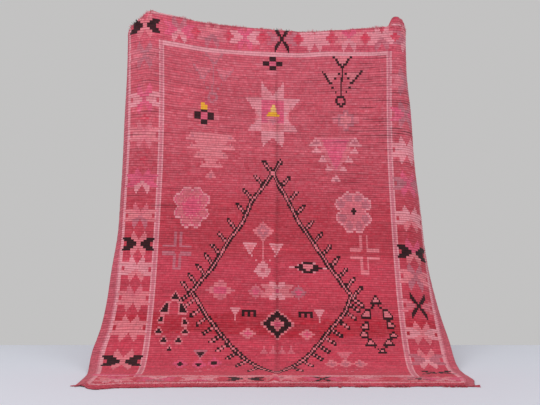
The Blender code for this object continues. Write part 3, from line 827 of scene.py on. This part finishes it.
# one closed sheet: a fine face with a colour for each knot, and a plainer hidden face
def makeSheet(name, finePoints, coarsePoints, keepRows, keepColumns, fineIsPile, cornerColour, places):
    rows, columns = finePoints.shape[:2]
    fineId = np.arange(rows * columns).reshape(rows, columns)
    keptId = rows * columns + np.arange(len(keepRows) * len(keepColumns)).reshape(len(keepRows), len(keepColumns))
    points = np.concatenate((finePoints.reshape(-1, 3), coarsePoints[np.ix_(keepRows, keepColumns)].reshape(-1, 3)))
    fineQuads = np.stack((fineId[:-1, :-1], fineId[1:, :-1], fineId[1:, 1:], fineId[:-1, 1:]), axis=-1).reshape(-1, 4)
    plainQuads = np.stack((keptId[:-1, :-1], keptId[:-1, 1:], keptId[1:, 1:], keptId[1:, :-1]), axis=-1).reshape(-1, 4)

    # rim: each long step of the plain face meets several short steps of the fine one
    loops = []
    top = (fineId[0], keptId[0], keepColumns, False)
    low = (fineId[-1], keptId[-1], keepColumns, True)
    left = (fineId[:, 0], keptId[:, 0], keepRows, True)
    right = (fineId[:, -1], keptId[:, -1], keepRows, False)
    for fineLine, keptLine, keep, flip in (top, low, left, right):
        for number, (start, end) in enumerate(zip(keep, keep[1:])):
            fan = [(keptLine[number], fineLine[j], fineLine[j + 1]) for j in range(start, end)]
            fan.append((keptLine[number], fineLine[end], keptLine[number + 1]))
            loops += [tri[::-1] for tri in fan] if flip else fan
    if not fineIsPile:
        fineQuads = fineQuads[:, ::-1]
        plainQuads = plainQuads[:, ::-1]
        loops = [tri[::-1] for tri in loops]
    faces = fineQuads.tolist() + plainQuads.tolist() + [list(map(int, tri)) for tri in loops]
    mesh = bpy.data.meshes.new(name)
    mesh.from_pydata(points.tolist(), [], faces)
    mesh.update()

    corner = np.empty(len(mesh.loops), dtype=int)
    mesh.loops.foreach_get("vertex_index", corner)
    flatPlaces = np.concatenate((places.reshape(-1, 2), places[np.ix_(keepRows, keepColumns)].reshape(-1, 2)))
    clothMap = mesh.uv_layers.new(name="clothPlace")
    clothMap.data.foreach_set("uv", flatPlaces[corner].astype(np.float32).ravel())
    wool = mesh.attributes.new("knotColour", "FLOAT_COLOR", "CORNER")
    colours = np.ones((len(mesh.loops), 4), dtype=np.float32)
    fineCorners = cornerColour if fineIsPile else cornerColour[:, ::-1]
    count = len(fineQuads) * 4
    colours[:count, :3] = fineCorners.reshape(-1, 3)
    pointColour = np.zeros((len(points), 3))
    pointColour[fineQuads.ravel()] = colours[:count, :3]
    plain = coarseColours(cornerColour, rows, columns, keepRows, keepColumns)
    pointColour[rows * columns:] = plain
    colours[count:, :3] = pointColour[corner[count:]]
    wool.data.foreach_set("color", colours.ravel())
    piece = bpy.data.objects.new(name, mesh)
    bpy.context.scene.collection.objects.link(piece)
    return piece


def coarseColours(cornerColour, rows, columns, keepRows, keepColumns):
    perFace = cornerColour.mean(axis=1).reshape(rows - 1, columns - 1, 3)
    r = np.minimum(keepRows, rows - 2)
    c = np.minimum(keepColumns, columns - 2)
    return perFace[np.ix_(r, c)].reshape(-1, 3)


def activate(piece):
    bpy.ops.object.select_all(action="DESELECT")
    piece.select_set(True)
    bpy.context.view_layer.objects.active = piece


# pile side: a ridge and a valley for each row of knots
pile = {
    "ridgeAt": 0.60,        # share of the row's height
    "ridgeRise": 0.0006,
    "valleyDrop": 0.0022,
    "uneven": 0.0005,
    "rowWander": 0.0022,
    "underside": 0.0024,
    "curlStep": 3,
    "middleStep": 9,
    "rowStep": 5,
    "topRowsKept": 20,
}
columnLine = np.linspace(-halfWidth, halfWidth, chart["columns"] + 1)


def wovenLines(halfRows):
    rows = chart["rows"]
    if halfRows:
        line = np.sort(np.concatenate((np.arange(rows + 1), np.arange(rows) + pile["ridgeAt"])))
    else:
        line = np.arange(rows + 1).astype(float)
    end = cloth["length"] + readTable(endTable, 1, columnLine)
    wander = softNoise(41, rows + 1, len(columnLine), 2.5, 22) * pile["rowWander"]
    wander[:5] *= 0.4
    wander[-3:] = 0.0
    wander[0] = 0.0
    wanderAt = np.stack([np.interp(line, np.arange(rows + 1), wander[:, c]) for c in range(len(columnLine))], axis=1)
    added = (end - cloth["length"])[None, :] * ease(rows - 12, rows, line)[:, None]
    down = line[:, None] * knotTall + added + wanderAt
    across = np.broadcast_to(columnLine, down.shape)
    return across, down, np.broadcast_to(end, down.shape), line


def keptRows(line, rowStep):
    kept = [k for k, place in enumerate(line) if place <= pile["topRowsKept"] or abs(place % rowStep) < 1e-6]
    if kept[-1] != len(line) - 1:
        kept.append(len(line) - 1)
    return np.array(kept)


def keptColumns():
    kept = []
    for c, place in enumerate(columnLine):
        step = pile["curlStep"] if abs(place) > 0.60 else pile["middleStep"]
        if c % step == 0 or c == len(columnLine) - 1:
            kept.append(c)
    return np.array(kept)


across, down, end, line = wovenLines(True)
back = clothBack(across, down)
outward = pileDirection(across, down)
thick = clothThickness(across, down, end)
isRidge = (np.arange(len(line)) % 2 == 1)[:, None]
rowsHere, columnsHere = down.shape
inPile = ease(cloth["web"], cloth["pile"], thick)
lumps = np.random.default_rng(51).normal(0, 1, down.shape) * pile["uneven"] * (0.35 + 0.65 * inPile)
broadLumps = softNoise(61, rowsHere, columnsHere, 9, 12) * 0.0004 * inPile
valleyDepth = pile["valleyDrop"] * (0.75 + 0.35 * softNoise(71, rowsHere, columnsHere, 2, 26)) * (0.3 + 0.7 * inPile)
height = thick + lumps + broadLumps + np.where(isRidge, pile["ridgeRise"], -np.maximum(valleyDepth, 0.0003))
front = back + outward * height[..., None]
under = back + outward * np.minimum(pile["underside"], thick - 0.0012)[..., None]

# painted shade: the valley corners are darker, more where the rows gape, less where they lie closed, and at least
# guardValley in the guards; the ridge corners get a painted highlight
dark = valleyShadeAmount.copy()
inGuards = np.isin(knotTone, [toneOf["guard"], toneOf["guardMiddle"]])
dark[:-1] = np.where(inGuards, np.maximum(dark[:-1], woolLook["guardValley"]), dark[:-1])
rowsOfKnots, columnsOfKnots = knotTone.shape
upperHalf = np.empty((rowsOfKnots, columnsOfKnots, 4, 3))
lowerHalf = np.empty_like(upperHalf)
ridgeHighlight = woolLook["ridge"]
topShade = (1 - dark[:-1])[..., None]
lowShade = (1 - dark[1:])[..., None]
for cornerNumber, shade in enumerate((topShade, ridgeHighlight, ridgeHighlight, topShade)):
    upperHalf[:, :, cornerNumber] = (valleyOfKnot if shade is topShade else highlitColourOfKnot) * shade
for cornerNumber, shade in enumerate((ridgeHighlight, lowShade, lowShade, ridgeHighlight)):
    lowerHalf[:, :, cornerNumber] = (valleyOfKnot if shade is lowShade else highlitColourOfKnot) * shade
bothHalves = np.stack((upperHalf, lowerHalf), axis=1).reshape(-1, 4, 3)
places = np.stack((across, down), axis=-1)
rugPile = makeSheet("rugPile", front, under, keptRows(line, pile["rowStep"]), keptColumns(), True, np.clip(bothHalves, 0, 1), places)
print("pile side made,", len(rugPile.data.polygons), "faces")


# back of the rug: flat weave with every knot showing, in duller wool
backLook = {
    "thickness": 0.0017,
    "knotRise": 0.0003,
    "dull": 0.72,
    "greyShare": 0.25,
}
across, down, end, line = wovenLines(False)
back = clothBack(across, down)
outward = pileDirection(across, down)
bumps = np.random.default_rng(91).normal(0, 1, down.shape) * backLook["knotRise"]
bumps = bumps + np.where(np.arange(len(line)) % 2 == 0, backLook["knotRise"], 0.0)[:, None]
backFace = back + outward * np.clip(bumps + 0.0003, 0.0, 0.0009)[..., None]
hidden = back + outward * backLook["thickness"]
dullColours = highlitColourOfKnot * backLook["dull"]
grey = dullColours.mean(axis=-1, keepdims=True)
dullColours = dullColours * (1 - backLook["greyShare"]) + (grey * np.array((1.25, 0.95, 0.95))) * backLook["greyShare"]
edgeShade = np.array((0.80, 1.05, 1.05, 0.80))[:, None]
knotCorners = (dullColours[:, :, None, :] * edgeShade).reshape(-1, 4, 3)
places = np.stack((across, down), axis=-1)
rugBack = makeSheet("rugBack", backFace, hidden, keptRows(line, pile["rowStep"]), keptColumns(), False, np.clip(knotCorners, 0, 1), places)
print("back made,", len(rugBack.data.polygons), "faces")


# one short yarn, modelled once and then laid many times: a five sided rod that thins to its tip
def modelYarn(name, sides, steps, thin):
    bpy.ops.object.select_all(action="DESELECT")
    bpy.ops.mesh.primitive_circle_add(vertices=sides, radius=1.0, fill_type="NGON", location=(0, 0, 0))
    yarn = bpy.context.active_object
    yarn.name = name
    bpy.ops.object.mode_set(mode="EDIT")
    bpy.ops.mesh.select_all(action="SELECT")
    for step in range(steps):
        bpy.ops.mesh.extrude_region_move(TRANSFORM_OT_translate={"value": (0, 0, 1.0 / steps)})
        bpy.ops.transform.resize(value=(thin, thin, 1.0))
    bpy.ops.mesh.select_all(action="SELECT")
    bpy.ops.mesh.normals_make_consistent(inside=False)
    bpy.ops.object.mode_set(mode="OBJECT")
    points = np.array([tuple(vertex.co) for vertex in yarn.data.vertices])
    faces = [list(face.vertices) for face in yarn.data.polygons]
    bpy.data.objects.remove(yarn, do_unlink=True)
    return points, faces


def unit(vectors):
    return vectors / np.maximum(np.linalg.norm(vectors, axis=-1, keepdims=True), 1e-9)


# lay copies of a yarn: roots, ways they run, sideways bends at the tip, lengths, radii, colours
def layYarns(name, yarn, roots, ways, bends, lengths, radii, colours):
    points, faces = yarn
    ways = unit(ways)
    across = unit(np.cross(ways, np.array((0.13, 0.21, 1.0))))
    over = np.cross(ways, across)
    along = points[:, 2]
    placed = roots[:, None] + ways[:, None] * (along[None, :, None] * lengths[:, None, None])
    placed = placed + bends[:, None] * (along ** 2)[None, :, None]
    placed = placed + across[:, None] * (points[None, :, 0, None] * radii[:, None, None])
    placed = placed - over[:, None] * (points[None, :, 1, None] * radii[:, None, None])
    count = len(points)
    allFaces = [[vertex + number * count for vertex in face] for number in range(len(roots)) for face in faces]
    mesh = bpy.data.meshes.new(name)
    mesh.from_pydata(placed.reshape(-1, 3).tolist(), [], allFaces)
    mesh.update()
    wool = mesh.attributes.new("knotColour", "FLOAT_COLOR", "POINT")
    shade = 0.72 + 0.34 * along
    perPoint = np.ones((len(roots), count, 4), dtype=np.float32)
    perPoint[..., :3] = np.clip(colours[:, None] * shade[None, :, None], 0, 1)
    wool.data.foreach_set("color", perPoint.ravel())
    piece = bpy.data.objects.new(name, mesh)
    bpy.context.scene.collection.objects.link(piece)
    return piece


def endPlace(across, beyond):
    end = cloth["length"] + readTable(endTable, 1, across)
    return clothBack(across, end + beyond)


# loose warp and yarn ends beyond the lower end
fringe = {
    "start": -0.795,
    "end": 0.880,
    "edgeYarns": 620,
    "warpEnds": 460,
    "yarnsPerLock": 9,
    "colours": [(196, 46, 68), (176, 32, 54), (150, 26, 46), (212, 92, 112), (206, 60, 84), (224, 140, 150)],
    "shares": [0.30, 0.24, 0.14, 0.12, 0.14, 0.06],
}
# start, end, locks, length, lean
tuftTable = [
    (-0.640, -0.590, 4, 0.007, -0.003), (-0.330, -0.262, 5, 0.008, 0.002), (-0.090, -0.020, 5, 0.007, -0.002),
    (0.172, 0.236, 6, 0.015, 0.003), (0.282, 0.292, 1, 0.026, -0.008), (0.336, 0.402, 6, 0.014, -0.002),
    (0.472, 0.580, 10, 0.016, 0.003), (0.634, 0.662, 2, 0.009, 0.004), (0.722, 0.836, 11, 0.018, 0.004),
]


def gatherYarns():
    maker = np.random.default_rng(101)
    roots, ways, bends, lengths, radii = [], [], [], [], []

    def lay(root, way, bend, length, radius):
        roots.append(root)
        ways.append(way)
        bends.append(bend)
        lengths.append(length)
        radii.append(radius)

    for across in np.linspace(fringe["start"], fringe["end"] - 0.02, fringe["edgeYarns"]):
        root = endPlace(across, maker.uniform(-0.001, 0.0055)) + np.array((0, 0, maker.uniform(0.0010, 0.0036)))
        lay(root, (1.0, maker.normal(0, 0.10), maker.normal(0, 0.03)), (0, maker.normal(0, 0.0018), maker.normal(0, 0.0004)),
            maker.uniform(0.012, 0.026), maker.uniform(0.0007, 0.0012))
    for across in np.linspace(fringe["start"], fringe["end"] - 0.01, fringe["warpEnds"]):
        root = endPlace(across, -0.001) + np.array((0, 0, maker.uniform(0.0010, 0.0030)))
        length = maker.uniform(0.005, 0.0105)
        lay(root, (maker.normal(0, 0.35), -1.0, -0.06), (maker.normal(0, 0.0016), 0, 0), length, maker.uniform(0.0005, 0.0009))
    for start, end, locks, length, lean in tuftTable:
        for number in range(locks * fringe["yarnsPerLock"]):
            across = maker.uniform(start, end)
            high = maker.uniform(0.0015, 0.0060)
            root = endPlace(across, -0.003) + np.array((0, 0, high))
            reach = (length + 0.008) * maker.uniform(0.72, 1.06)
            lay(root, (lean / 0.016 + maker.normal(0, 0.20), -1.0, 0.0), (maker.normal(0, 0.002), 0, 0.0013 - high), reach, maker.uniform(0.0008, 0.0013))
    for number in range(18):
        turn = number * 2.4
        root = endPlace(fringe["end"] - 0.010, 0.0035) + np.array((0, 0.0022 * math.cos(turn), 0.0040 + 0.0022 * math.sin(turn)))
        lay(root, (1.0, -0.10 + 0.10 * math.sin(turn), 0.05 * math.cos(turn)), (0, 0.003 * math.cos(turn + 1), 0.0022 * math.sin(turn + 1)),
            maker.uniform(0.026, 0.033), 0.0013)
    for number in range(12):
        turn = number * 2.4
        root = endPlace(-0.868, -0.012) + np.array((0, 0.0018 * math.cos(turn), 0.0036 + 0.0016 * math.sin(turn)))
        lay(root, (-1.0, -0.30 + 0.14 * math.sin(turn), -0.04), (-0.002, 0.004 * math.cos(turn + 1), 0.0), maker.uniform(0.024, 0.034), 0.0010)
    picks = maker.choice(len(fringe["colours"]), size=len(roots), p=fringe["shares"])
    colours = toLinear(np.array(fringe["colours"])[picks]) * maker.uniform(0.85, 1.12, (len(roots), 1))
    return [np.array(values, dtype=float) for values in (roots, ways, bends, lengths, radii, colours)]


longYarn = modelYarn("longYarn", 5, 4, 0.88)
endFringe = layYarns("endFringe", longYarn, *gatherYarns())
print("end fringe laid,", len(endFringe.data.polygons), "faces")


# knots that stand out of the pile along the top roll and lie shaggy near the lower end
shag = {
    "topKnots": 1500,
    "lowKnots": 2600,
    "length": (0.0035, 0.0075),
    "radius": (0.0008, 0.0014),
}


def gatherKnots():
    maker = np.random.default_rng(131)
    topAcross = maker.uniform(-0.84, 0.80, shag["topKnots"])
    topDown = readTable(topTable, 1, topAcross) + maker.normal(0.004, 0.010, shag["topKnots"])
    lowAcross = maker.uniform(-0.85, 0.85, shag["lowKnots"])
    lowEnd = cloth["length"] + readTable(endTable, 1, lowAcross)
    lowDown = lowEnd - 0.012 - np.abs(maker.normal(0, 0.055, shag["lowKnots"]))
    across = np.concatenate((topAcross, lowAcross))
    down = np.concatenate((topDown, lowDown))
    end = cloth["length"] + readTable(endTable, 1, across)
    outward = pileDirection(across, down)
    roots = clothBack(across, down) + outward * (clothThickness(across, down, end) - 0.0022)[:, None]
    ways = outward + maker.normal(0, 0.45, outward.shape)
    ways[shag["topKnots"]:] += np.array((0.0, -0.8, 0.0))
    c = np.clip(np.floor((across + halfWidth) / knotWide).astype(int), 0, chart["columns"] - 1)
    r = np.clip(np.floor(down / knotTall).astype(int), 0, chart["rows"] - 1)
    colours = highlitColourOfKnot[r, c] * maker.uniform(0.80, 1.20, (len(across), 1))
    lengths = maker.uniform(*shag["length"], len(across))
    clump = np.interp(across, np.linspace(-0.9, 0.9, 60), maker.uniform(0.5, 1.9, 60) ** 1.5)
    lengths[:shag["topKnots"]] *= clump[:shag["topKnots"]]
    radii = maker.uniform(*shag["radius"], len(across))
    bends = maker.normal(0, 0.0012, outward.shape)
    return roots, ways, bends, lengths, radii, colours


shortKnot = modelYarn("shortKnot", 4, 2, 0.74)
edgeKnots = layYarns("edgeKnots", shortKnot, *gatherKnots())
print("standing knots laid,", len(edgeKnots.data.polygons), "faces")


# finishes
def woolFinish(name, fibreScale, strength, sheen):
    finish = Finish(name, 0.93, sheen)
    place = finish.add("ShaderNodeUVMap", {"uv_map": "clothPlace"})
    stretched = finish.add("ShaderNodeMapping", None, {"Vector": place, "Scale": (fibreScale, fibreScale * 0.45, 1.0)})
    fibre = finish.add("ShaderNodeTexNoise", {"noise_dimensions": "2D"}, {"Vector": stretched, "Scale": 1.0, "Detail": 3.0, "Roughness": 0.6})
    tuft = finish.add("ShaderNodeTexNoise", {"noise_dimensions": "2D"}, {"Vector": stretched, "Scale": 0.22, "Detail": 2.0})
    wool = finish.add("ShaderNodeAttribute", {"attribute_name": "knotColour"})
    shade = 0.62 + fibre * 0.42 + tuft * 0.36
    grey = finish.add("ShaderNodeCombineColor", None, {"Red": shade, "Green": shade, "Blue": shade})
    mixed = finish.add("ShaderNodeMix", {"data_type": "RGBA", "blend_type": "MULTIPLY"}, {0: 1.0, 6: wool, 7: grey}, 2)
    finish.drive("Base Color", mixed)
    lift = fibre * 0.5 + tuft
    bump = finish.add("ShaderNodeBump", None, {"Strength": strength, "Distance": 0.0012, "Height": lift})
    finish.drive("Normal", bump)
    return finish.material


# loose yarn: the knots' own colours with a fine twist on them
def yarnFinish(name):
    finish = Finish(name, 0.93, 0.10)
    place = finish.add("ShaderNodeTexCoord", output=3)
    twist = finish.add("ShaderNodeTexNoise", None, {"Vector": place, "Scale": 900.0, "Detail": 2.0})
    wool = finish.add("ShaderNodeAttribute", {"attribute_name": "knotColour"})
    shade = 0.66 + twist * 0.68
    grey = finish.add("ShaderNodeCombineColor", None, {"Red": shade, "Green": shade, "Blue": shade})
    mixed = finish.add("ShaderNodeMix", {"data_type": "RGBA", "blend_type": "MULTIPLY"}, {0: 1.0, 6: wool, 7: grey}, 2)
    finish.drive("Base Color", mixed)
    return finish.material


looseWool = yarnFinish("looseWoolYarn")
for piece, material in (
    (rugPile, woolFinish("shortWoolPile", 620.0, 0.55, 0.10)),
    (rugBack, woolFinish("flatWoolWeave", 900.0, 0.30, 0.05)),
    (endFringe, looseWool),
    (edgeKnots, looseWool),
):
    piece.data.materials.append(material)
    activate(piece)
    bpy.ops.object.shade_smooth()
print("finishes made")

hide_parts("rug")
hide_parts("end_fringe")
for piece in (rugPile, rugBack, endFringe, edgeKnots):
    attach(piece, "root")


# floor, light and camera
studio = {
    "floor": (0.83, 0.86, 0.95),
    "wallTone": (0.545, 0.540, 0.538),
    "worldStrength": 1.0,
    "keyPower": 60.0,
    "fillPower": 22.0,
    "lens": 50.0,
    "cameraPlace": (-0.03, -4.278, 0.71),
    "horizonBelowMiddle": 22.5,
}
bpy.ops.object.select_all(action="DESELECT")
bpy.ops.mesh.primitive_plane_add(size=1.0, location=(0, 0, 0))
floorPiece = bpy.context.active_object
floorPiece.name = "studioFloor"
floorPiece.scale = (14.0, 7.0, 1.0)
floorPiece.location = (0.0, 0.16 - 3.5, floorLevel - 0.0004)
bpy.ops.object.transform_apply(location=True, rotation=True, scale=True)
floorFinish = Finish("paleFloor", 0.85, 0.0)
floorFinish.drive("Base Color", (*studio["floor"], 1.0))
floorPiece.data.materials.append(floorFinish.material)

world = bpy.data.worlds.new("studioAir")
world.use_nodes = True
world.node_tree.nodes["Background"].inputs["Color"].default_value = (*studio["wallTone"], 1.0)
world.node_tree.nodes["Background"].inputs["Strength"].default_value = studio["worldStrength"]
bpy.context.scene.world = world


def addLight(name, place, aim, size, power):
    light = bpy.data.lights.new(name, "AREA")
    light.size = size
    light.energy = power
    lamp = bpy.data.objects.new(name, light)
    lamp.location = place
    lamp.rotation_euler = (Vector(aim) - Vector(place)).to_track_quat("-Z", "Y").to_euler()
    bpy.context.scene.collection.objects.link(lamp)


addLight("keyLight", (-2.2, -3.6, 1.6), (0.0, -0.3, -0.9), 2.6, studio["keyPower"])
addLight("fillLight", (2.8, -3.0, 0.6), (0.0, -0.3, -0.9), 2.6, studio["fillPower"])

cameraData = bpy.data.cameras.new("photoCamera")
cameraData.lens = studio["lens"]
cameraData.sensor_width = 36.0
cameraData.shift_y = studio["horizonBelowMiddle"] / 540
camera = bpy.data.objects.new("photoCamera", cameraData)
x, y, above = studio["cameraPlace"]
camera.location = (x, y, floorLevel + above)
camera.rotation_euler = (math.radians(90), 0.0, 0.0)
bpy.context.scene.collection.objects.link(camera)
bpy.context.scene.camera = camera
bpy.context.scene.view_settings.view_transform = "Standard"
